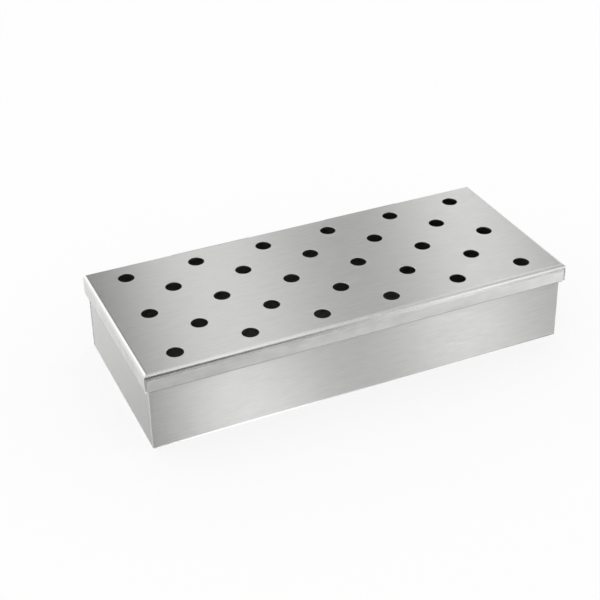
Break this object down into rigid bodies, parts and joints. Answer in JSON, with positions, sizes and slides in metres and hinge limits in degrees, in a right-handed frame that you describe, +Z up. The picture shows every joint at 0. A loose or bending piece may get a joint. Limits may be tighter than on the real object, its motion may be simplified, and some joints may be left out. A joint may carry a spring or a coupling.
{
  "type": "smoker box",
  "caption": "Low folded steel box for smoking wood chips on a grill, with a perforated lid hinged along its back edge.",
  "frame": {"origin": "on the floor under the middle of the closed box: middle of the overall length and of the overall width, height 0 at the underside", "axes": "+X along the box's length, +Y from the lid's front skirt to the hinge at the back, +Z up through the lid"},
  "size_m": [0.223, 0.097, 0.043],
  "materials": {
    "brushed_sheet": "fine brush lines along the length of the box",
    "pin_wire": "drawn wire, satin"
  },
  "bodies": {
    "tray": {"tray": "brushed_sheet", "hinge_pin": "pin_wire"},
    "lid": {"lid": "brushed_sheet"}
  },
  "joints": [
    {"name": "lid_hinge", "type": "hinge", "parent": "tray", "child": "lid", "pos_m": [0, 0.04652, 0.04002], "axis": [-1, 0, 0], "range_deg": [0, 100]}
  ]
}
